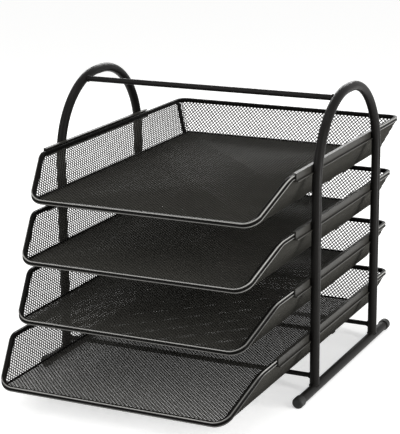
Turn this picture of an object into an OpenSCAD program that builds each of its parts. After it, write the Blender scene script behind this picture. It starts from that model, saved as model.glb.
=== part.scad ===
// Four-tier mesh letter tray. Two side frames of bent steel tube, tied by three cross rods,
// carry channel rails, and four mesh trays with folded hems slide forward on the rails.
// X is across, -Y is the open front, Z is up. All sizes are in millimetres.

/* [Frame] */
// Distance across between the leg centres
leg_gap_x = 292; // [270:1:330]
// Distance between the front and rear leg centres
leg_gap_y = 177; // [155:1:220]
// Outside diameter of the bent tube
tube_d = 10; // [8:0.5:13]
// Wall of the bent tube
tube_wall = 1.2; // [0.8:0.1:2]
// Height of the arch's crown above the top tray's rims
arch_rise = 67; // [50:1:100]
// Length of the straight crown between the arch's two bends
crown_len = 10; // [6:1:60]
// Length of a foot past a leg's centre, over its end cap
foot_past = 48; // [30:1:80]
// Diameter of a foot's end cap
cap_d = 12; // [11:0.5:16]
// Length of a cap outside the foot tube
cap_len = 10; // [7:0.5:16]
// Rounding of a cap's outer edge
cap_round = 3; // [1:0.5:4]
// Length of the cap's plug inside the foot tube
plug_len = 14; // [8:1:25]
// Gap all round the plug
plug_gap = 0.15; // [0.05:0.05:0.4]
// Depth of the flat that the caps stand on
sole_flat = 0.3; // [0.1:0.1:0.6]
// Diameter of the rod that ties the two arches
top_rod_d = 6; // [4:0.5:8]
// Distance of that rod in front of the arch's middle
top_rod_ahead = 34; // [10:1:50]
// Diameter of the two low rods that tie the legs
low_rod_d = 5; // [4:0.5:6]
// Gap between the low rods and the bar of the bottom tray
low_rod_gap = 1.05; // [0.5:0.05:2]

/* [Rails] */
// Sheet of the rail channel
rail_sheet = 1.2; // [0.8:0.1:1.6]
// How deep the rail's web is seated on the round of the legs
rail_seat = 0.4; // [0.2:0.1:0.6]
// Length of a rail in front of the front leg's centre
rail_ahead = 43; // [20:1:60]
// Length of a rail behind the rear leg's centre
rail_behind = 8; // [5:1:40]
// How far the channel's lower flange stands out past its web
rail_lip = 2; // [1:0.1:3]
// Gap between a hem and the channel's lower flange
slide_gap = 0.3; // [0.2:0.1:0.6]
// Gap between a hem and the channel's upper flange
lift_gap = 0.8; // [0.3:0.1:1.2]
// Gap between a hem and the channel's web
side_gap = 0.5; // [0.3:0.1:1]
// Gap between a mesh wall and the lower flange's edge
wall_gap = 0.6; // [0.4:0.1:1]

/* [Trays] */
// Length of a tray from its front lip to its back rim
tray_len = 382; // [360:1:420]
// Extra length of the bottom tray and its rails at the front
bottom_extra = 42; // [0:1:60]
// Height from the mesh floor to the middle of the side rims
wall_drop = 36; // [30:0.5:37]
// How far a side or back wall leans out over that height
wall_lean = 16.5; // [8:0.5:22]
// Length of the sloping front end of a side rim
slope_run = 50; // [38:1:70]
// Thickness of the folded hem
hem_t = 4; // [3.5:0.1:6]
// Height of the folded hem
hem_h = 5; // [4.5:0.1:8]
// Edge break of the hem
hem_break = 1; // [0.5:0.1:1.5]
// Corner radius of the hem at the front lip
front_corner_r = 16; // [10:1:20]
// Bend radius of the hem at the top of the slope
slope_bend_r = 20; // [10:1:25]
// Corner radius of the hem at the back
back_corner_r = 10; // [8:1:24]

/* [Mesh] */
// Thickness of the mesh sheet
mesh_t = 0.9; // [0.6:0.1:1.4]
// Width of a strand of the mesh
strand_w = 3; // [2:0.1:4]
// Length and breadth of a diamond of the floor
floor_cell = 28; // [24:1:40]
// Length and breadth of a diamond of the walls
wall_cell = 14; // [12:0.5:16]
// Plain border round each mesh panel
mesh_border = 3; // [2:0.5:5]
// Seam between two mesh panels, or a panel and a hem
seam = 0.15; // [0.1:0.05:0.4]
// Width of the flat bar under the mesh floor
bar_w = 9; // [6:0.5:14]
// Thickness of that bar
bar_t = 1.5; // [1:0.1:1.6]
// Distance from the floor's rear edge to the middle of that bar
bar_ahead = 110; // [60:1:200]

/* [Layout] */
// Height of the bottom tray's mesh floor
bottom_floor_z = 24.5; // [24:0.5:40]
// Distance from one tier to the next
tier_pitch = 58.5; // [52:0.5:75]
// Gap between the bend of a hem and the rail's front end with a tray pushed home
home_gap = 2.3; // [1:0.1:10]
// How far the second tray is pulled out
pull_2 = 21; // [0:1:60]
// How far the third tray is pulled out
pull_3 = 32; // [0:1:60]
// How far the bottom tray is pulled out
pull_4 = 27; // [0:1:60]

/* [Hidden] */

coat = "#2b2a27";
coat_rail = "#3a3a37";
cap_black = "#191918";

// Frame
leg_x = leg_gap_x / 2;
leg_y = leg_gap_y / 2;
bore_d = tube_d - 2 * tube_wall;
foot_z = cap_d / 2 - sole_flat;
foot_half = leg_y + foot_past;
foot_end = foot_half - cap_len;
cope_z = foot_z + 0.3 * tube_d;
over = 1;

// Rails and the place of the trays between them
rail_out_x = leg_x - tube_d / 2 + rail_seat;
rail_in_x = rail_out_x - rail_sheet;
rim_x = rail_in_x - side_gap - hem_t / 2;
floor_x = rim_x - wall_lean;
wall_rise = sqrt(wall_drop * wall_drop + wall_lean * wall_lean);
wall_tilt = atan2(wall_lean, wall_drop);
slot_low = -hem_h / 2 - slide_gap;
slot_high = hem_h / 2 + lift_gap;
flange_tip_x = rim_x + slot_low * wall_lean / wall_drop + mesh_t / 2 / cos(wall_tilt) + wall_gap;

// Tiers from the top down
pulls = [0, pull_2, pull_3, pull_4];
extras = [0, 0, 0, bottom_extra];
floor_zs = [for (i = [0:3]) bottom_floor_z + (3 - i) * tier_pitch];
rim_zs = [for (z = floor_zs) z + wall_drop];
slope_turn = acos(slope_run / norm([wall_lean, slope_run, wall_drop]));
home_front = leg_y + rail_ahead + home_gap + slope_bend_r * tan(slope_turn / 2) + slope_run + hem_t / 2;
fronts = [for (i = [0:3]) -home_front - extras[i] - pulls[i]];
backs = [for (i = [0:3]) fronts[i] + tray_len + extras[i]];
front_most = min(min(fronts), -foot_half);
back_most = max(max(backs), foot_half);
mid_y = -(front_most + back_most) / 2;

// Arch and cross rods
arch_top_z = rim_zs[0] + arch_rise;
crown_half = crown_len / 2;
arch_bend_r = leg_y - crown_half;
bend_z = arch_top_z - arch_bend_r;
top_rod_z = bend_z + sqrt(arch_bend_r * arch_bend_r - pow(max(top_rod_ahead - crown_half, 0), 2));
low_rod_z = floor_zs[3] - mesh_t / 2 - bar_t - low_rod_gap - low_rod_d / 2;

$fn = 64;

module left_arch() { color(coat) at_mid() mirror([1, 0, 0]) side_arch(); }
module right_arch() { color(coat) at_mid() side_arch(); }
module left_foot_tube() { color(coat) at_mid() mirror([1, 0, 0]) foot_tube(); }
module right_foot_tube() { color(coat) at_mid() foot_tube(); }
module left_front_cap() { color(cap_black) at_mid() foot_cap(-1, -1); }
module left_rear_cap() { color(cap_black) at_mid() foot_cap(-1, 1); }
module right_front_cap() { color(cap_black) at_mid() foot_cap(1, -1); }
module right_rear_cap() { color(cap_black) at_mid() foot_cap(1, 1); }
module top_cross_rod() { color(coat) at_mid() arch_rod(); }
module front_low_rod() { color(coat) at_mid() low_rod(-1); }
module rear_low_rod() { color(coat) at_mid() low_rod(1); }

module left_rail_1() { color(coat_rail) at_mid() mirror([1, 0, 0]) rail(0); }
module right_rail_1() { color(coat_rail) at_mid() rail(0); }
module left_rail_2() { color(coat_rail) at_mid() mirror([1, 0, 0]) rail(1); }
module right_rail_2() { color(coat_rail) at_mid() rail(1); }
module left_rail_3() { color(coat_rail) at_mid() mirror([1, 0, 0]) rail(2); }
module right_rail_3() { color(coat_rail) at_mid() rail(2); }
module left_rail_4() { color(coat_rail) at_mid() mirror([1, 0, 0]) rail(3); }
module right_rail_4() { color(coat_rail) at_mid() rail(3); }

module rim_1() { color(coat) at_mid() rim(0); }
module floor_mesh_1() { color(coat) at_mid() floor_mesh(0); }
module left_mesh_1() { color(coat) at_mid() mirror([1, 0, 0]) side_mesh(0); }
module right_mesh_1() { color(coat) at_mid() side_mesh(0); }
module back_mesh_1() { color(coat) at_mid() back_mesh(0); }
module floor_bar_1() { color(coat) at_mid() floor_bar(0); }

module rim_2() { color(coat) at_mid() rim(1); }
module floor_mesh_2() { color(coat) at_mid() floor_mesh(1); }
module left_mesh_2() { color(coat) at_mid() mirror([1, 0, 0]) side_mesh(1); }
module right_mesh_2() { color(coat) at_mid() side_mesh(1); }
module back_mesh_2() { color(coat) at_mid() back_mesh(1); }
module floor_bar_2() { color(coat) at_mid() floor_bar(1); }

module rim_3() { color(coat) at_mid() rim(2); }
module floor_mesh_3() { color(coat) at_mid() floor_mesh(2); }
module left_mesh_3() { color(coat) at_mid() mirror([1, 0, 0]) side_mesh(2); }
module right_mesh_3() { color(coat) at_mid() side_mesh(2); }
module back_mesh_3() { color(coat) at_mid() back_mesh(2); }
module floor_bar_3() { color(coat) at_mid() floor_bar(2); }

module rim_4() { color(coat) at_mid() rim(3); }
module floor_mesh_4() { color(coat) at_mid() floor_mesh(3); }
module left_mesh_4() { color(coat) at_mid() mirror([1, 0, 0]) side_mesh(3); }
module right_mesh_4() { color(coat) at_mid() side_mesh(3); }
module back_mesh_4() { color(coat) at_mid() back_mesh(3); }
module floor_bar_4() { color(coat) at_mid() floor_bar(3); }

// The frame's middle is moved so that the whole part stands about the origin
module at_mid() { translate([0, mid_y, 0]) children(); }

// A bar bent into the arch: two legs, two quarter bends and a short crown, with the section that is given
module arch_bar(low) {
    for (s = [-1, 1])
        translate([leg_x, s * leg_y, low]) linear_extrude(bend_z - low) children();
    for (s = [0, 1])
        mirror([0, s, 0]) translate([leg_x, crown_half, bend_z]) rotate([90, 0, 90])
            rotate_extrude(angle = 90) translate([arch_bend_r, 0]) children();
    translate([leg_x, crown_half, arch_top_z]) rotate([90, 0, 0]) linear_extrude(2 * crown_half) children();
}

// Arched side tube, coped where its legs are welded on the foot
module side_arch() {
    difference() {
        arch_bar(cope_z) difference() {
            circle(d = tube_d);
            circle(d = bore_d);
        }
        foot_bar(tube_d, foot_end);
    }
}

module foot_bar(d, half) {
    translate([leg_x, half, foot_z]) rotate([90, 0, 0]) cylinder(d = d, h = 2 * half);
}

module foot_tube() {
    difference() {
        foot_bar(tube_d, foot_end);
        foot_bar(bore_d, foot_end + over);
    }
}

// Moulded end cap: a rounded knob with a plug for the tube and a flat to stand on
module foot_cap(side, end) {
    difference() {
        translate([side * leg_x, end * foot_end, foot_z]) rotate([-90 * end, 0, 0]) rotate_extrude() cap_profile();
        translate([side * leg_x - cap_d, -2 * foot_half, -cap_d]) cube([2 * cap_d, 4 * foot_half, cap_d]);
    }
}

module cap_profile() {
    square([cap_d / 2 - cap_round, cap_len]);
    square([cap_d / 2, cap_len - cap_round]);
    translate([0, -plug_len]) square([bore_d / 2 - plug_gap, plug_len]);
    intersection() {
        translate([cap_d / 2 - cap_round, cap_len - cap_round]) circle(r = cap_round);
        square([cap_d, cap_len + over]);
    }
}

// Thin rod welded across between the two arches
module arch_rod() {
    difference() {
        cross_bar(top_rod_d, -top_rod_ahead, top_rod_z);
        for (s = [0, 1]) mirror([s, 0, 0]) arch_bar(cope_z) circle(d = tube_d);
    }
}

// Thin rod welded across between two legs, just under the bottom tray
module low_rod(end) {
    difference() {
        cross_bar(low_rod_d, end * leg_y, low_rod_z);
        for (s = [-1, 1])
            translate([s * leg_x, end * leg_y, cope_z]) cylinder(d = tube_d, h = bend_z - cope_z);
    }
}

module cross_bar(d, y, z) {
    translate([-leg_x, y, z]) rotate([0, 90, 0]) cylinder(d = d, h = 2 * leg_x);
}

// Channel rail that opens inwards, seated on the round of both legs
module rail(i) {
    rear = leg_y + rail_behind;
    length = rear + leg_y + rail_ahead + extras[i];
    difference() {
        translate([0, rear, rim_zs[i]]) rotate([90, 0, 0]) linear_extrude(length) rail_profile();
        arch_bar(cope_z) circle(d = tube_d);
    }
}

module rail_profile() {
    lip_x = rail_out_x + rail_lip;
    polygon([[lip_x, slot_low - rail_sheet], [lip_x, slot_low],
             [rail_out_x, slot_low], [rail_out_x, slot_high + rail_sheet],
             [flange_tip_x, slot_high + rail_sheet], [flange_tip_x, slot_high],
             [rail_in_x, slot_high], [rail_in_x, slot_low],
             [flange_tip_x, slot_low], [flange_tip_x, slot_low - rail_sheet]]);
}

// Folded hem: one closed loop along the low front lip, up both slopes, along the sides and round the back
module rim(i) {
    ring = hem_ring(i);
    count = len(ring);
    n = len(hem_section);
    points = [for (s = ring) for (q = hem_section) hem_point(s, q)];
    faces = [for (k = [0:count - 1]) for (j = [0:n - 1]) for (half = [0, 1])
        let (k2 = (k + 1) % count, j2 = (j + 1) % n)
        half == 0 ? [k * n + j, k * n + j2, k2 * n + j2] : [k * n + j, k2 * n + j2, k2 * n + j]];
    polyhedron(points, faces);
}

hem_section = let (w = hem_t / 2, h = hem_h / 2, c = hem_break)
    [[w, -h + c], [w, h - c], [w - c, h], [-w + c, h], [-w, h - c], [-w, -h + c], [-w + c, -h], [w - c, -h]];

function unit(v) = v / norm(v);

// A section's point beside the path: q[0] outwards from the tray, q[1] upwards
function hem_point(s, q) =
    let (out = unit([s[1].y, -s[1].x, 0]), up = cross(out, s[1]))
    s[0] + q[0] * out + q[1] * up;

// The hem's path as points and directions, anticlockwise from the front lip
function hem_ring(i) =
    let (y1 = fronts[i] + hem_t / 2, y2 = y1 + slope_run, y3 = backs[i] - hem_t / 2,
         z1 = floor_zs[i], z2 = rim_zs[i],
         corners = [[floor_x, y1, z1], [rim_x, y2, z2], [rim_x, y3, z2],
                    [-rim_x, y3, z2], [-rim_x, y2, z2], [-floor_x, y1, z1]],
         radii = [front_corner_r, slope_bend_r, back_corner_r, back_corner_r, slope_bend_r, front_corner_r],
         steps = [8, 5, 8, 8, 5, 8])
    [for (k = [0:5]) each bend(corners[k], unit(corners[k] - corners[(k + 5) % 6]),
                               unit(corners[(k + 1) % 6] - corners[k]), radii[k], steps[k])];

// An arc of radius r that rounds the corner p between the directions u and v
function bend(p, u, v, r, n) =
    let (turn = acos(u * v), start = p - u * r * tan(turn / 2), across = unit(v - (u * v) * u),
         centre = start + r * across)
    [for (k = [0:n]) let (a = turn * k / n)
        [centre - r * cos(a) * across + r * sin(a) * u, cos(a) * u + sin(a) * across]];

// A mesh sheet cut to an outline, with the diamonds that fit inside its plain border
module mesh_sheet(outline, cell) {
    holes = diamonds(outline, cell);
    count = len(outline);
    linear_extrude(mesh_t, center = true)
        polygon(concat(outline, [for (h = holes) each h]),
                concat([[for (k = [0:count - 1]) k]],
                       [for (m = [0:len(holes) - 1]) [for (k = [0:3]) count + 4 * m + k]]));
}

function diamonds(outline, cell) =
    let (lo = [min([for (p = outline) p.x]), min([for (p = outline) p.y])],
         hi = [max([for (p = outline) p.x]), max([for (p = outline) p.y])],
         size = hi - lo - [1, 1] * (2 * mesh_border - strand_w * sqrt(2)),
         nx = max(1, floor(size.x / cell)), ny = max(1, floor(size.y / cell)),
         px = size.x / nx, py = size.y / ny,
         start = lo + [1, 1] * (mesh_border - strand_w / sqrt(2)),
         hx = px / 2 - strand_w / sqrt(2), hy = py / 2 - strand_w / sqrt(2))
    [for (a = [1:2 * nx - 1]) for (b = [1:2 * ny - 1])
        let (c = start + [a * px / 2, b * py / 2],
             d = [c + [hx, 0], c + [0, hy], c - [hx, 0], c - [0, hy]])
        if ((a + b) % 2 == 0 && min([for (p = d) inset(p, outline)]) > mesh_border - 0.01) d];

// Distance of a point inside the nearest edge of a convex outline that runs anticlockwise
function inset(p, outline) =
    min([for (k = [0:len(outline) - 1])
        let (a = outline[k], e = unit(outline[(k + 1) % len(outline)] - a)) e.x * (p.y - a.y) - e.y * (p.x - a.x)]);

// Floor of a tray, rounded at the front to follow the lip
module floor_mesh(i) {
    x = floor_x - seam;
    y1 = fronts[i] + hem_t + seam;
    y2 = floor_back(i) - seam;
    r = front_corner_r;
    arc = [for (k = [0:4]) k * 22.5];
    translate([0, 0, floor_zs[i]])
        mesh_sheet(concat([for (a = arc) [-x + r - r * cos(a), y1 + r - r * sin(a)]],
                          [for (a = arc) [x - r + r * sin(a), y1 + r - r * cos(a)]],
                          [[x, y2], [-x, y2]]), floor_cell);
}

function floor_back(i) = backs[i] - hem_t / 2 - wall_lean;

// Side wall of a tray, leaning out from the floor to the hem; its outline runs along the wall
module side_mesh(i) {
    y1 = fronts[i] + hem_t / 2;
    back = backs[i] - hem_t / 2;
    top = wall_rise - (hem_h / 2 + mesh_t * wall_lean / wall_drop) / cos(wall_tilt) - seam;
    foot = mesh_t * tan(wall_tilt) + seam;
    fall = atan2(wall_rise, slope_run);
    behind = (hem_h / 2 + seam + mesh_t) / sin(fall);
    corner = front_corner_r;
    low = corner * 0.45;
    lean = wall_lean / wall_rise;
    mitre = mesh_t / 2 + seam;
    relief = (slope_bend_r - hem_h / 2) * tan(fall / 2);
    outline = [[y1 + corner, foot], [back - wall_lean + lean * foot - mitre, foot],
               [back - wall_lean + lean * top - mitre, top],
               [y1 + behind + top / tan(fall) + relief, top],
               [y1 + behind + top / tan(fall) - relief * cos(fall), top - relief * sin(fall)],
               [y1 + behind + low / tan(fall), low]];
    translate([floor_x, 0, floor_zs[i]]) rotate([0, wall_tilt, 0]) rotate([90, 0, 90])
        mesh_sheet(outline, wall_cell);
}

// Back wall of a tray, leaning out like the sides
module back_mesh(i) {
    top = wall_rise - (hem_h / 2 + mesh_t * wall_lean / wall_drop) / cos(wall_tilt) - seam;
    foot = mesh_t * tan(wall_tilt) + seam;
    lean = wall_lean / wall_rise;
    mitre = mesh_t / 2 + seam;
    low_x = floor_x + lean * foot - mitre;
    top_x = floor_x + lean * top - mitre;
    translate([0, floor_back(i), floor_zs[i]]) rotate([90 - wall_tilt, 0, 0])
        mesh_sheet([[-low_x, foot], [low_x, foot], [top_x, top], [-top_x, top]], wall_cell);
}

// Flat stiffener bar welded across under the mesh floor
module floor_bar(i) {
    translate([-floor_x + seam, floor_back(i) - bar_ahead - bar_w / 2, floor_zs[i] - mesh_t / 2 - bar_t])
        cube([2 * (floor_x - seam), bar_w, bar_t]);
}

left_arch();
right_arch();
left_foot_tube();
right_foot_tube();
left_front_cap();
left_rear_cap();
right_front_cap();
right_rear_cap();
top_cross_rod();
front_low_rod();
rear_low_rod();
left_rail_1();
right_rail_1();
left_rail_2();
right_rail_2();
left_rail_3();
right_rail_3();
left_rail_4();
right_rail_4();
rim_1();
floor_mesh_1();
left_mesh_1();
right_mesh_1();
back_mesh_1();
floor_bar_1();
rim_2();
floor_mesh_2();
left_mesh_2();
right_mesh_2();
back_mesh_2();
floor_bar_2();
rim_3();
floor_mesh_3();
left_mesh_3();
right_mesh_3();
back_mesh_3();
floor_bar_3();
rim_4();
floor_mesh_4();
left_mesh_4();
right_mesh_4();
back_mesh_4();
floor_bar_4();
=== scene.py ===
"""Four-tier mesh letter tray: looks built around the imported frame, in metres, in the frame's own axes."""
import math

import bpy
from mathutils import Matrix, Vector


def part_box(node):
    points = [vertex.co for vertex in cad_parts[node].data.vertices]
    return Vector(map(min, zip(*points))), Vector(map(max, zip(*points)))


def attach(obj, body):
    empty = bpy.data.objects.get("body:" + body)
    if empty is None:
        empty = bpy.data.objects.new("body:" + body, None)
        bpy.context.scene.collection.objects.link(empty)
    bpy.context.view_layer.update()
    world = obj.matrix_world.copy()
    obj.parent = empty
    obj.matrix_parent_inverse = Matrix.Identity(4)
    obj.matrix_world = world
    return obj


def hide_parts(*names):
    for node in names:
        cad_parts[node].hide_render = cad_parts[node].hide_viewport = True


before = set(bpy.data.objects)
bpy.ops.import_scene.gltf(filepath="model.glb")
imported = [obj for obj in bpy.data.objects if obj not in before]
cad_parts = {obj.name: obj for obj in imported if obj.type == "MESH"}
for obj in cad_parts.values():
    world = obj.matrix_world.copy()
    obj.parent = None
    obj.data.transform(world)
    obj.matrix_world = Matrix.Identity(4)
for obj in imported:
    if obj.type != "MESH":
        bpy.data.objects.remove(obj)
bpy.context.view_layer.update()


# Side frames and cross rods. Each side is a 10 mm steel tube bent into an arch and welded on a foot tube, and
# three thinner rods tie the two sides together. All of it has one satin black powder coat, sprayed and baked.

MM = 0.001
COLOUR_A, COLOUR_B, COLOUR_OUT = 6, 7, 2  # a Mix node's colour sockets, by number


def linear(hex_code):
    """An sRGB hex colour as the linear RGBA that a shader takes."""
    channels = [int(hex_code[i:i + 2], 16) / 255 for i in (1, 3, 5)]
    return [c / 12.92 if c <= 0.04045 else ((c + 0.055) / 1.055) ** 2.4 for c in channels] + [1.0]


def add_node(finish, kind, settings, links):
    """Adds a node. Settings are its properties or socket values, links its sockets fed by (node, output)."""
    node = finish.node_tree.nodes.new(kind)
    for name, value in settings.items():
        if isinstance(name, str) and hasattr(node, name):
            setattr(node, name, value)
        else:
            node.inputs[name].default_value = value
    for name, (source, output) in links.items():
        finish.node_tree.links.new(source.outputs[output], node.inputs[name])
    return node


def powder_coat(name, dark, light, rough, sheen):
    """Baked polyester powder coat on steel: a deep even black whose skin has a faint orange peel. It gives
    soft, slightly broken highlights along edges and tubes. The peel's 1.4 mm waves are drawn at 2.2 mm so
    that they show."""
    cloud_wide, grain_wide, peel_wide, peel_deep = 45 * MM, 0.9 * MM, 2.2 * MM, 0.05 * MM
    smoother, rougher = 0.05, 0.07
    finish = bpy.data.materials.new(name)
    finish.use_nodes = True
    shader = finish.node_tree.nodes["Principled BSDF"]
    link = finish.node_tree.links.new
    place = add_node(finish, "ShaderNodeTexCoord", {}, {})
    cloud = add_node(finish, "ShaderNodeTexNoise",
                     {"Scale": 1 / cloud_wide, "Detail": 3.0, "Roughness": 0.55},
                     {"Vector": (place, "Object")})
    tone = add_node(finish, "ShaderNodeMix",
                    {"data_type": "RGBA", COLOUR_A: linear(dark), COLOUR_B: linear(light)},
                    {0: (cloud, "Fac")})
    grain = add_node(finish, "ShaderNodeTexNoise", {"Scale": 1 / grain_wide, "Detail": 2.0, "Roughness": 0.6},
                     {"Vector": (place, "Object")})
    gloss = add_node(finish, "ShaderNodeMapRange",
                     {"From Min": 0.3, "From Max": 0.7,
                      "To Min": rough - smoother, "To Max": rough + rougher},
                     {"Value": (grain, "Fac")})
    peel = add_node(finish, "ShaderNodeTexNoise", {"Scale": 1 / peel_wide, "Detail": 1.5, "Roughness": 0.5},
                    {"Vector": (place, "Object")})
    skin = add_node(finish, "ShaderNodeBump", {"Strength": 0.35, "Distance": peel_deep},
                    {"Height": (peel, "Fac")})
    link(tone.outputs[COLOUR_OUT], shader.inputs["Base Color"])
    link(gloss.outputs["Result"], shader.inputs["Roughness"])
    link(skin.outputs["Normal"], shader.inputs["Normal"])
    shader.inputs["Specular IOR Level"].default_value = sheen
    return finish


def coat_node(node, finish):
    """Gives a carried-over solid its finish."""
    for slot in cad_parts[node].material_slots:
        slot.material = finish


frame_coat = powder_coat("satin_black_powder_coat_on_tube", "#131211", "#1a1918", rough=0.36, sheen=0.06)
for node in ("left_arch", "right_arch", "left_foot_tube", "right_foot_tube",
             "top_cross_rod", "front_low_rod", "rear_low_rod"):
    coat_node(node, frame_coat)


# Foot caps. Four plugs of black polypropylene, moulded with a fine spark texture, are pushed into the ends of
# the foot tubes and keep the steel off the desk.

SIDES = (("left", -1), ("right", 1))


def moulded_plastic(name, dark, light, rough):
    """Injection-moulded polypropylene: a dull black with a fine sparked grain that blurs all highlights.
    The grain's 0.25 mm pits are drawn at 0.6 mm so that they show."""
    pit_wide, pit_deep = 0.6 * MM, 0.06 * MM
    finish = bpy.data.materials.new(name)
    finish.use_nodes = True
    shader = finish.node_tree.nodes["Principled BSDF"]
    link = finish.node_tree.links.new
    place = add_node(finish, "ShaderNodeTexCoord", {}, {})
    pits = add_node(finish, "ShaderNodeTexNoise", {"Scale": 1 / pit_wide, "Detail": 3.0, "Roughness": 0.7},
                    {"Vector": (place, "Object")})
    tone = add_node(finish, "ShaderNodeMix",
                    {"data_type": "RGBA", COLOUR_A: linear(dark), COLOUR_B: linear(light)},
                    {0: (pits, "Fac")})
    skin = add_node(finish, "ShaderNodeBump", {"Strength": 0.5, "Distance": pit_deep},
                    {"Height": (pits, "Fac")})
    link(tone.outputs[COLOUR_OUT], shader.inputs["Base Color"])
    link(skin.outputs["Normal"], shader.inputs["Normal"])
    shader.inputs["Roughness"].default_value = rough
    shader.inputs["Specular IOR Level"].default_value = 0.3
    return finish


cap_plastic = moulded_plastic("moulded_black_polypropylene", "#131312", "#1b1b1a", rough=0.58)
for side, _ in SIDES:
    coat_node(f"{side}_front_cap", cap_plastic)
    coat_node(f"{side}_rear_cap", cap_plastic)


# Slide rails. Eight channels folded from 1.2 mm sheet, with a narrow lip along the lower edge, are welded to
# the inner sides of the legs. They wear the same coat, drawn lighter than on the tubes as a painted highlight
# for the light that falls on their flat webs.

TRAYS = (1, 2, 3, 4)
# Painted highlight: these colours are lighter than the tubes' for the light on the rails' webs.
rail_coat_painted_lit = powder_coat("satin_black_powder_coat_painted_lit_on_sheet", "#262522", "#302f2c", rough=0.40, sheen=0.14)
for n in TRAYS:
    for side, _ in SIDES:
        coat_node(f"{side}_rail_{n}", rail_coat_painted_lit)


# Tray hems. Each tray's open edge is a steel strip folded over the edge of the mesh and pressed shut: a flat
# band with rounded folds and a shallow groove outside. It runs along the front lip, up both slopes, where the
# fold springs open a little, along the sides and round the back.

HEM_T, HEM_H, HEM_ROUND, HEM_GROOVE = 4 * MM, 5 * MM, 1.1 * MM, 0.7 * MM
WALL_LEAN, WALL_DROP, SLOPE_RUN = 16.5 * MM, 36 * MM, 50 * MM
FRONT_R, SLOPE_R, BACK_R = 16 * MM, 20 * MM, 10 * MM
FRONT_STEPS, SLOPE_STEPS, BACK_STEPS = 16, 8, 14
SLOPE_SWELL = 1.25
SHARP_FOLD = math.radians(40)


def only(piece):
    """Makes one piece the only selected and active one."""
    bpy.ops.object.select_all(action="DESELECT")
    piece.select_set(True)
    bpy.context.view_layer.objects.active = piece


def tray_sizes(n):
    """Where a tray's hem and floor lie, read from its solids."""
    low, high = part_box(f"rim_{n}")
    floor_low, floor_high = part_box(f"floor_mesh_{n}")
    rim_x = high.x - HEM_T / 2
    return {"front": low.y + HEM_T / 2, "back": high.y - HEM_T / 2,
            "rim_x": rim_x, "rim_z": high.z - HEM_H / 2,
            "floor_x": rim_x - WALL_LEAN, "floor_z": (floor_low.z + floor_high.z) / 2}


def round_corner(before, corner, after, radius, steps):
    """Points of the arc that rounds a corner of a bent path."""
    u, v = (corner - before).normalized(), (after - corner).normalized()
    turn = u.angle(v)
    across = (v - u.dot(v) * u).normalized()
    start = corner - u * radius * math.tan(turn / 2)
    centre = start + radius * across
    angles = [turn * k / steps for k in range(steps + 1)]
    return [centre - radius * math.cos(a) * across + radius * math.sin(a) * u for a in angles]


def sweep(name, points, profile, closed, swells=None):
    """Runs a profile along a bent path, upright all the way, as a mesh. Swells scale it at each point."""
    bpy.ops.object.select_all(action="DESELECT")
    bpy.ops.curve.primitive_nurbs_path_add()
    piece = bpy.context.object
    piece.name = name
    path = piece.data
    path.splines.clear()
    spline = path.splines.new("POLY")
    spline.points.add(len(points) - 1)
    for knot, point, swell in zip(spline.points, points, swells or [1] * len(points)):
        knot.co = (*point, 1)
        knot.radius = swell
    spline.use_cyclic_u = closed
    path.twist_mode = "Z_UP"
    path.bevel_mode = "OBJECT"
    path.bevel_object = profile
    path.use_fill_caps = not closed
    only(piece)
    bpy.ops.object.convert(target="MESH")
    bpy.ops.object.mode_set(mode="EDIT")
    bpy.ops.mesh.select_all(action="SELECT")
    bpy.ops.mesh.normals_make_consistent(inside=False)
    bpy.ops.object.mode_set(mode="OBJECT")
    bpy.ops.object.shade_smooth_by_angle(angle=SHARP_FOLD)
    return piece


outer_face = 0.49 * HEM_T  # what lies beyond this is the flat of the section's outer side
bpy.ops.object.select_all(action="DESELECT")
bpy.ops.mesh.primitive_plane_add(size=1)
hem_profile = bpy.context.object
hem_profile.scale = (HEM_T, HEM_H, 1)
bpy.ops.object.transform_apply(scale=True)
bpy.ops.object.mode_set(mode="EDIT")
bpy.ops.mesh.select_all(action="SELECT")
bpy.ops.mesh.bevel(offset=HEM_ROUND, segments=5, affect="VERTICES")
bpy.ops.mesh.delete(type="ONLY_FACE")
bpy.ops.mesh.select_all(action="DESELECT")
bpy.ops.object.mode_set(mode="OBJECT")
for edge in hem_profile.data.edges:
    ends = [hem_profile.data.vertices[v].co for v in edge.vertices]
    edge.select = min(end.x for end in ends) > outer_face
bpy.ops.object.mode_set(mode="EDIT")
bpy.ops.mesh.subdivide(number_cuts=5)
bpy.ops.object.mode_set(mode="OBJECT")
for v in hem_profile.data.vertices:
    if v.co.x > outer_face:
        across = v.co.y / (HEM_H / 2 - HEM_ROUND)
        v.co.x -= HEM_GROOVE * 0.5 * (1 + math.cos(math.pi * across))
bpy.ops.object.convert(target="CURVE")
hem_section = [Vector(p.co[:2]) for p in hem_profile.data.splines[0].points]

# Painted highlights. Two thin pale lines are painted into the hems' colour along two outer edges, at the top
# fold and below the groove, where lamps draw highlights on the real coat. On the slopes of the lower two
# trays they are painted weaker, as painted shade under the trays above. Each hem carries the lines as a point
# attribute that its coat reads. An edge is its place, its reach and its share.
PAINTED_HIGHLIGHT_EDGES = ((Vector((1.68, 2.18)) * MM, 0.7 * MM, 1.0), (Vector((1.85, -1.55)) * MM, 0.6 * MM, 0.6))
# Painted shade: how far the painted highlight is dimmed up each tray's slopes, for the trays above.
SLOPE_PAINTED_SHADE = {1: 0.0, 2: 0.0, 3: 0.6, 4: 0.65}


def painted_highlight_at(point):
    """How strong the painted highlight is at a point of the hem's section, from 0 to 1."""
    return max(share * max(0.0, 1 - (point - edge).length / reach) for edge, reach, share in PAINTED_HIGHLIGHT_EDGES)


hem_highlight_shares = [painted_highlight_at(point) for point in hem_section]
hem_coat = powder_coat("satin_black_powder_coat_on_folded_hem", "#0d0d0c", "#131211", rough=0.28, sheen=0.02)
shader = hem_coat.node_tree.nodes["Principled BSDF"]
tone = shader.inputs["Base Color"].links[0].from_node
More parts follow.
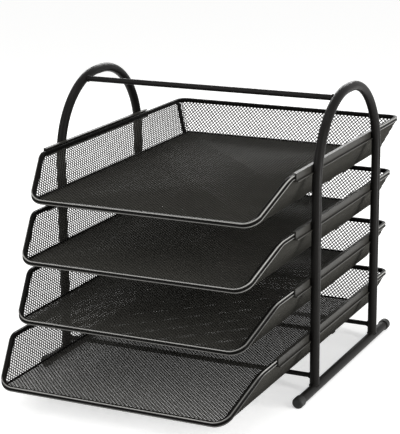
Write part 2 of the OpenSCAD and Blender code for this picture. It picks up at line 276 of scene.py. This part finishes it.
# Painted highlight: the pale #bdbcb8 is mixed into the hem's colour where the mask marks an edge.
painted_highlight_mask = add_node(hem_coat, "ShaderNodeAttribute", {"attribute_name": "painted_highlight_mask"}, {})
highlighted_tone = add_node(hem_coat, "ShaderNodeMix", {"data_type": "RGBA", COLOUR_B: linear("#bdbcb8")},
                  {0: (painted_highlight_mask, "Fac"), COLOUR_A: (tone, COLOUR_OUT)})
hem_coat.node_tree.links.new(highlighted_tone.outputs[COLOUR_OUT], shader.inputs["Base Color"])

for n in TRAYS:
    tray = tray_sizes(n)
    x1, y1, z1 = tray["floor_x"], tray["front"], tray["floor_z"]
    x2, y2, z2, y3 = tray["rim_x"], tray["front"] + SLOPE_RUN, tray["rim_z"], tray["back"]
    right_side = [Vector((x1, y1, z1)), Vector((x2, y2, z2)), Vector((x2, y3, z2))]
    left_side = [Vector((-p.x, p.y, p.z)) for p in reversed(right_side)]
    corners = right_side + left_side
    bends = ((FRONT_R, FRONT_STEPS, 1, SLOPE_SWELL), (SLOPE_R, SLOPE_STEPS, SLOPE_SWELL, 1),
             (BACK_R, BACK_STEPS, 1, 1), (BACK_R, BACK_STEPS, 1, 1),
             (SLOPE_R, SLOPE_STEPS, 1, SLOPE_SWELL), (FRONT_R, FRONT_STEPS, SLOPE_SWELL, 1))
    hem_line, hem_swells = [], []
    for k, (radius, steps, first, last) in enumerate(bends):
        after = corners[(k + 1) % len(corners)]
        hem_line += round_corner(corners[k - 1], corners[k], after, radius, steps)
        hem_swells += [first + (last - first) * step / steps for step in range(steps + 1)]
    hem = sweep(f"hem_{n}", hem_line, hem_profile, True, hem_swells)
    hem.data.materials.append(hem_coat)
    # Painted highlight mask per point, weaker up the slopes of the lower trays as painted shade.
    highlight_layer = hem.data.attributes.new("painted_highlight_mask", "FLOAT", "POINT")
    for k, value in enumerate(highlight_layer.data):
        up_slope = (hem_swells[k // len(hem_highlight_shares)] - 1) / (SLOPE_SWELL - 1)
        value.value = hem_highlight_shares[k % len(hem_highlight_shares)] * (1 - up_slope * SLOPE_PAINTED_SHADE[n])
    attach(hem, f"tray_{n}")
    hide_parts(f"rim_{n}")
bpy.data.objects.remove(hem_profile)


# Mesh walls and floors. One sheet of fine steel diamond mesh per tray, rolled flat, folded up at the sides
# and the back and spot welded inside the hem, then coated with the rest. The real diamonds are about 3.3 mm
# from point to point, and they are drawn at 4.4 mm so that they show.

STRAND_W, STRAND_T, LAYER_GAP, CELL = 1.2 * MM, 0.8 * MM, 0.75 * MM, 4.4 * MM
NET_REACH = 620 * MM
FLOOR_DEPTH = 1.28  # floor strands are drawn deeper, so that floors seen through one another don't shimmer
FLOOR_NOSE = ((12 * MM, 1 * MM), (5 * MM, 2.2 * MM), (0, 6 * MM))  # in from the fold, back from the lip
WALL_NOSE = ((13.3 * MM, 8 * MM), (7.5 * MM, 3 * MM), (6 * MM, 0))  # back from the lip, up from the fold
WALL_UNDER_HEM, WALL_BEHIND_SLOPE = 2.2 * MM, 2 * MM  # how far short of the hem's middle the walls end
WALL_RISE = math.hypot(WALL_LEAN, WALL_DROP)
WALL_TURN = math.atan2(WALL_DROP, WALL_LEAN)
SAME_POINT = 1e-7
STRAND_FACET = math.radians(70)

strand_gap = CELL / math.sqrt(2)
strand_count = int(NET_REACH / strand_gap) | 1
bpy.ops.object.select_all(action="DESELECT")
bpy.ops.mesh.primitive_cylinder_add(vertices=6, radius=STRAND_W / 2, depth=NET_REACH,
                                    rotation=(math.pi / 2, 0, 0))
net = bpy.context.object
bpy.ops.object.transform_apply(rotation=True)
net.scale.z = STRAND_T / STRAND_W
bpy.ops.object.transform_apply(scale=True)
strands = net.modifiers.new("strands", "ARRAY")
strands.count = strand_count
strands.use_relative_offset = False
strands.use_constant_offset = True
strands.constant_offset_displace = (strand_gap, 0, 0)
bpy.ops.object.modifier_apply(modifier="strands")
bpy.ops.object.mode_set(mode="EDIT")
bpy.ops.mesh.select_all(action="SELECT")
bpy.ops.transform.translate(value=(-strand_gap * (strand_count // 2), 0, 0))
bpy.ops.transform.rotate(value=math.pi / 4, orient_axis="Z", center_override=(0, 0, 0))
bpy.ops.mesh.duplicate()
bpy.ops.transform.rotate(value=math.pi / 2, orient_axis="Z", center_override=(0, 0, 0))
bpy.ops.transform.translate(value=(0, 0, LAYER_GAP))
bpy.ops.object.mode_set(mode="OBJECT")
bpy.ops.object.shade_smooth_by_angle(angle=STRAND_FACET)
mesh_coat = powder_coat("satin_black_powder_coat_on_mesh", "#363532", "#403f3b", rough=0.45, sheen=0.02)
net.data.materials.append(mesh_coat)


def mesh_panel(name, node, n, outline, place):
    """Cuts a copy of the net to an outline in the flat, anticlockwise, and sets it in its place."""
    panel = net.copy()
    panel.data = net.data.copy()
    panel.name = name
    bpy.context.scene.collection.objects.link(panel)
    only(panel)
    bpy.ops.object.mode_set(mode="EDIT")
    for k, (x, y) in enumerate(outline):
        next_x, next_y = outline[(k + 1) % len(outline)]
        bpy.ops.mesh.select_all(action="SELECT")
        across = (next_y - y, x - next_x, 0)
        bpy.ops.mesh.bisect(plane_co=(x, y, 0), plane_no=across, clear_outer=True, threshold=SAME_POINT)
        bpy.ops.mesh.select_all(action="SELECT")
        bpy.ops.mesh.fill_holes(sides=0)
    bpy.ops.mesh.normals_make_consistent(inside=False)
    bpy.ops.object.mode_set(mode="OBJECT")
    panel.matrix_world = place
    bpy.ops.object.transform_apply(location=True, rotation=True, scale=True)
    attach(panel, f"tray_{n}")
    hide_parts(node)


for n in TRAYS:
    tray = tray_sizes(n)
    middle = (tray["front"] + tray["back"]) / 2
    half_x, fold_y, lip_y = tray["floor_x"], tray["back"] - WALL_LEAN - middle, tray["front"] - middle
    flat = Matrix.Translation((0, middle, tray["floor_z"]))
    nose = [(half_x - in_x, lip_y + in_y) for in_x, in_y in FLOOR_NOSE]
    outline = [(-x, y) for x, y in reversed(nose)] + nose + [(half_x, fold_y), (-half_x, fold_y)]
    deepened = flat @ Matrix.Scale(FLOOR_DEPTH, 4, (0, 0, 1))
    mesh_panel(f"floor_net_{n}", f"floor_mesh_{n}", n, outline, deepened)

    top, lean = WALL_RISE - WALL_UNDER_HEM, WALL_LEAN / WALL_RISE
    fall = math.atan2(WALL_RISE, SLOPE_RUN)
    behind = WALL_BEHIND_SLOPE / math.sin(fall)
    side_line = [(fold_y, 0), (fold_y + lean * top, top), (lip_y + behind + top / math.tan(fall), top)]
    side_line += [(lip_y + u, v) for u, v in WALL_NOSE]
    right_flat = [(half_x + v, u) for u, v in reversed(side_line)]
    left_flat = [(-half_x - v, u) for u, v in side_line]
    for side, sign, outline in (("left", -1, left_flat), ("right", 1, right_flat)):
        hinge = Matrix.Translation((sign * half_x, 0, 0))
        fold = hinge @ Matrix.Rotation(-sign * WALL_TURN, 4, "Y") @ hinge.inverted()
        mesh_panel(f"{side}_net_{n}", f"{side}_mesh_{n}", n, outline, flat @ fold)
    hinge = Matrix.Translation((0, fold_y, 0))
    fold = hinge @ Matrix.Rotation(WALL_TURN, 4, "X") @ hinge.inverted()
    outline = [(-half_x, fold_y), (half_x, fold_y),
               (half_x + lean * top, fold_y + top), (-half_x - lean * top, fold_y + top)]
    mesh_panel(f"back_net_{n}", f"back_mesh_{n}", n, outline, flat @ fold)
bpy.data.objects.remove(net)


# Fold wires and floor bars. A thin wire is welded along the fold of the mesh, down both sides and across the
# back, and a flat bar crosses under the floor. Both keep the sheet flat under a load of paper.

FOLD_WIRE_D, WIRE_BEHIND_LIP = 2.2 * MM, 5 * MM
WIRE_CORNER_R, WIRE_CORNER_STEPS = 4 * MM, 6
bpy.ops.object.select_all(action="DESELECT")
bpy.ops.mesh.primitive_circle_add(vertices=12, radius=FOLD_WIRE_D / 2)
wire_profile = bpy.context.object
bpy.ops.object.convert(target="CURVE")
for n in TRAYS:
    coat_node(f"floor_bar_{n}", hem_coat)
    tray = tray_sizes(n)
    x, z = tray["floor_x"] - FOLD_WIRE_D / 2, tray["floor_z"] + FOLD_WIRE_D / 2
    y1, y2 = tray["front"] + WIRE_BEHIND_LIP, tray["back"] - WALL_LEAN - FOLD_WIRE_D / 2
    ends = [Vector((x, y1, z)), Vector((x, y2, z)), Vector((-x, y2, z)), Vector((-x, y1, z))]
    right_corner = round_corner(*ends[0:3], WIRE_CORNER_R, WIRE_CORNER_STEPS)
    left_corner = round_corner(*ends[1:4], WIRE_CORNER_R, WIRE_CORNER_STEPS)
    wire_line = [ends[0]] + right_corner + left_corner + [ends[3]]
    fold_wire = sweep(f"fold_wire_{n}", wire_line, wire_profile, False)
    fold_wire.data.materials.append(hem_coat)
    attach(fold_wire, f"tray_{n}")
bpy.data.objects.remove(wire_profile)


# Corner straps. A short flat strap stands on each side wall a little ahead of the rear corner, from the floor
# to the hem. It is spot welded over the edge where the folded mesh overlaps, and coated with the rest.

STRAP_W, STRAP_T, STRAP_AHEAD, STRAP_ROUND = 8 * MM, 0.7 * MM, 12 * MM, 0.2 * MM
STRAP_SEAT = 0.45  # half would only touch the strands, and this presses the strap on them
for n in TRAYS:
    tray = tray_sizes(n)
    half_x, fold_y = tray["floor_x"], tray["back"] - WALL_LEAN
    top, lean = WALL_RISE - HEM_H / 2, WALL_LEAN / WALL_RISE
    for side, sign in SIDES:
        bpy.ops.object.select_all(action="DESELECT")
        bpy.ops.mesh.primitive_cube_add(size=1)
        strap = bpy.context.object
        strap.name = f"{side}_corner_strap_{n}"
        strap.scale = (top * math.hypot(1, lean), STRAP_W, STRAP_T)
        bpy.ops.object.transform_apply(scale=True)
        bpy.ops.object.mode_set(mode="EDIT")
        bpy.ops.mesh.select_all(action="SELECT")
        bpy.ops.mesh.bevel(offset=STRAP_ROUND, segments=2)
        bpy.ops.object.mode_set(mode="OBJECT")
        bpy.ops.object.shade_smooth_by_angle(angle=SHARP_FOLD)
        hinge = Matrix.Translation((sign * half_x, 0, tray["floor_z"]))
        above = LAYER_GAP + STRAP_SEAT * (STRAND_T + STRAP_T)
        place = Matrix.Translation((sign * top / 2, fold_y - STRAP_AHEAD + lean * top / 2, above))
        turn = Matrix.Rotation(sign * math.atan(lean), 4, "Z")
        strap.matrix_world = hinge @ Matrix.Rotation(-sign * WALL_TURN, 4, "Y") @ place @ turn
        bpy.ops.object.transform_apply(location=True, rotation=True)
        strap.data.materials.append(hem_coat)
        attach(strap, f"tray_{n}")


# Weld beads. The legs are welded to the feet all round, the rods to the tubes, and the rails to the legs with
# short upright runs. The coat covers the beads and leaves them as soft ridges.

TUBE_R, BEAD_R, TACK_R = 5 * MM, 0.9 * MM, 0.9 * MM
RING_STEPS, RIPPLES, RIPPLE_SHARE = 48, 12, 0.1
SADDLE_SHARE = 0.6  # the ring follows the foot tube's top, and sinks no lower than this share of its radius
ROD_BEAD_OUT, RAIL_LIP = 0.2 * MM, 2 * MM
TACK_OUT, TACK_APART, TACK_HALF_RUN = 0.3, 0.5, 0.42  # shares of a tack's radius, the tube's and the rail
bpy.ops.object.select_all(action="DESELECT")
bpy.ops.mesh.primitive_circle_add(vertices=10, radius=BEAD_R)
bead_profile = bpy.context.object
bpy.ops.object.convert(target="CURVE")
beads = []
for side, sign in SIDES:
    low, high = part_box(f"{side}_arch")
    foot_low, foot_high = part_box(f"{side}_foot_tube")
    leg_x, foot_z = (low.x + high.x) / 2, (foot_low.z + foot_high.z) / 2
    legs = (("front", low.y + TUBE_R), ("rear", high.y - TUBE_R))
    for end, leg_y in legs:
        ring = []
        for k in range(RING_STEPS):
            a = 2 * math.pi * k / RING_STEPS
            ripple = RIPPLE_SHARE * BEAD_R * math.sin(RIPPLES * a)
            rise = max(TUBE_R * abs(math.sin(a)), SADDLE_SHARE * TUBE_R) + ripple
            ring.append(Vector((leg_x + TUBE_R * math.cos(a), leg_y + TUBE_R * math.sin(a), foot_z + rise)))
        beads.append(sweep(f"{side}_{end}_foot_bead", ring, bead_profile, True))
    for rod in ("top_cross_rod", "front_low_rod", "rear_low_rod"):
        rod_low, rod_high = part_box(rod)
        rod_r = (rod_high.z - rod_low.z) / 2
        rod_end = sign * (abs(leg_x) - TUBE_R - ROD_BEAD_OUT)
        bpy.ops.object.select_all(action="DESELECT")
        bpy.ops.mesh.primitive_torus_add(
            major_segments=32, minor_segments=10, major_radius=rod_r, minor_radius=BEAD_R,
            location=(rod_end, (rod_low.y + rod_high.y) / 2, (rod_low.z + rod_high.z) / 2),
            rotation=(0, math.pi / 2, 0))
        bpy.ops.object.transform_apply(location=True, rotation=True)
        bpy.ops.object.shade_smooth()
        beads.append(bpy.context.object)
    for n in TRAYS:
        rail_low, rail_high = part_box(f"{side}_rail_{n}")
        tack_x = sign * (max(abs(rail_low.x), abs(rail_high.x)) - RAIL_LIP + TACK_OUT * TACK_R)
        tack_z = (rail_low.z + rail_high.z) / 2
        for end, leg_y in legs:
            for way in (-1, 1):
                place = (tack_x, leg_y + way * TACK_APART * TUBE_R, tack_z)
                bpy.ops.object.select_all(action="DESELECT")
                bpy.ops.mesh.primitive_uv_sphere_add(segments=12, ring_count=8, radius=TACK_R, location=place)
                tack = bpy.context.object
                tack.scale.z = TACK_HALF_RUN * (rail_high.z - rail_low.z) / TACK_R
                bpy.ops.object.transform_apply(location=True, scale=True)
                bpy.ops.object.shade_smooth()
                beads.append(tack)
bpy.ops.object.select_all(action="DESELECT")
for bead in beads:
    bead.select_set(True)
bpy.context.view_layer.objects.active = beads[0]
bpy.ops.object.join()
welds = bpy.context.object
welds.name = "weld_beads"
welds.data.materials.clear()
welds.data.materials.append(frame_coat)
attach(welds, "frame")
bpy.data.objects.remove(bead_profile)


# Studio floor and air. A pale matt floor keeps the shadow, and it and the air around it show as plain white
# to the camera and in reflections, while the light that they give stays at a plain level.

FLOOR_R, FLOOR_LIFT, AIR_LIGHT = 9, 0.5, 0.55


def backdrop_rays(surround):
    """Adds the nodes that give 1 for the rays that show the white surround, and 0 for the rays that light."""
    ray = add_node(surround, "ShaderNodeLightPath", {}, {})
    seen = add_node(surround, "ShaderNodeMath", {"operation": "MAXIMUM"},
                    {0: (ray, "Is Camera Ray"), 1: (ray, "Is Glossy Ray")})
    return add_node(surround, "ShaderNodeMath", {"operation": "MAXIMUM"},
                    {0: (seen, "Value"), 1: (ray, "Is Transmission Ray")})


floor_paint = bpy.data.materials.new("matt_white_studio_floor")
floor_paint.use_nodes = True
paint = floor_paint.node_tree.nodes["Principled BSDF"]
paint.inputs["Base Color"].default_value = linear("#ebebea")
paint.inputs["Roughness"].default_value = 0.9
paint.inputs["Specular IOR Level"].default_value = 0.0
paint.inputs["Emission Color"].default_value = (1, 1, 1, 1)
lift = add_node(floor_paint, "ShaderNodeMath", {"operation": "MULTIPLY", 1: FLOOR_LIFT},
                {0: (backdrop_rays(floor_paint), "Value")})
floor_paint.node_tree.links.new(lift.outputs["Value"], paint.inputs["Emission Strength"])
bpy.ops.object.select_all(action="DESELECT")
bpy.ops.mesh.primitive_circle_add(vertices=96, radius=FLOOR_R, fill_type="NGON")
floor = bpy.context.object
floor.name = "studio_floor"
floor.data.materials.append(floor_paint)

scene = bpy.context.scene
scene.view_settings.view_transform = "Standard"
world = bpy.data.worlds.new("studio_air")
scene.world = world
world.use_nodes = True
air = world.node_tree.nodes["Background"]
air.inputs["Color"].default_value = (1, 1, 1, 1)
level = add_node(world, "ShaderNodeMapRange", {"To Min": AIR_LIGHT, "To Max": 1.0},
                 {"Value": (backdrop_rays(world), "Value")})
world.node_tree.links.new(level.outputs["Result"], air.inputs["Strength"])


# Studio lamps. Five softboxes draw the soft lines along tubes and hems: one overhead, a tall one at the right
# with a small one low beside it, one behind for the top edges and a tall one ahead on the left.

def softbox(name, place, aim, wide, high, watts):
    """A softbox at a place, turned towards a point."""
    lamp = bpy.data.lights.new(name, "AREA")
    lamp.shape = "RECTANGLE"
    lamp.size = wide
    lamp.size_y = high
    lamp.energy = watts
    box = bpy.data.objects.new(name, lamp)
    scene.collection.objects.link(box)
    box.location = place
    box.rotation_euler = (Vector(aim) - Vector(place)).to_track_quat("-Z", "Y").to_euler()


softbox("softbox_top", place=(0.0, -0.2, 1.5), aim=(0, 0, 0.1), wide=1.4, high=0.15, watts=4)
softbox("softbox_right", place=(1.4, -0.5, 0.75), aim=(0, 0, 0.15), wide=0.15, high=1.1, watts=8)
softbox("softbox_low", place=(0.85, 0.03, 0.1), aim=(0, 0.03, 0.12), wide=0.25, high=0.2, watts=5)
softbox("softbox_rim", place=(-0.6, 1.3, 0.8), aim=(0, 0, 0.15), wide=1.2, high=0.15, watts=10)
softbox("softbox_front", place=(-0.65, -1.3, 1.0), aim=(0, -0.1, 0.15), wide=0.14, high=1.0, watts=8)


# Camera. It stands ahead on the right and looks down a little, with a long lens, at the photograph's angle.
# The focal length is in pixels of an image 434 pixels high.

CAMERA_PLACE = Vector((0.6873, -1.4584, 0.5934))
YAW, PITCH, ROLL = math.radians(25.467), math.radians(15.1), math.radians(-0.413)
FOCAL_PX, IMAGE_H, SENSOR_MM, FAR_END = 1564.5, 434, 36, 50
lens = bpy.data.cameras.new("camera")
lens.sensor_width = SENSOR_MM
lens.lens = FOCAL_PX * SENSOR_MM / IMAGE_H
lens.clip_end = FAR_END
camera = bpy.data.objects.new("camera", lens)
scene.collection.objects.link(camera)
level_turn = Matrix.Rotation(YAW, 4, "Z") @ Matrix.Rotation(math.pi / 2 - PITCH, 4, "X")
camera.matrix_world = Matrix.Translation(CAMERA_PLACE) @ level_turn @ Matrix.Rotation(ROLL, 4, "Z")
scene.camera = camera
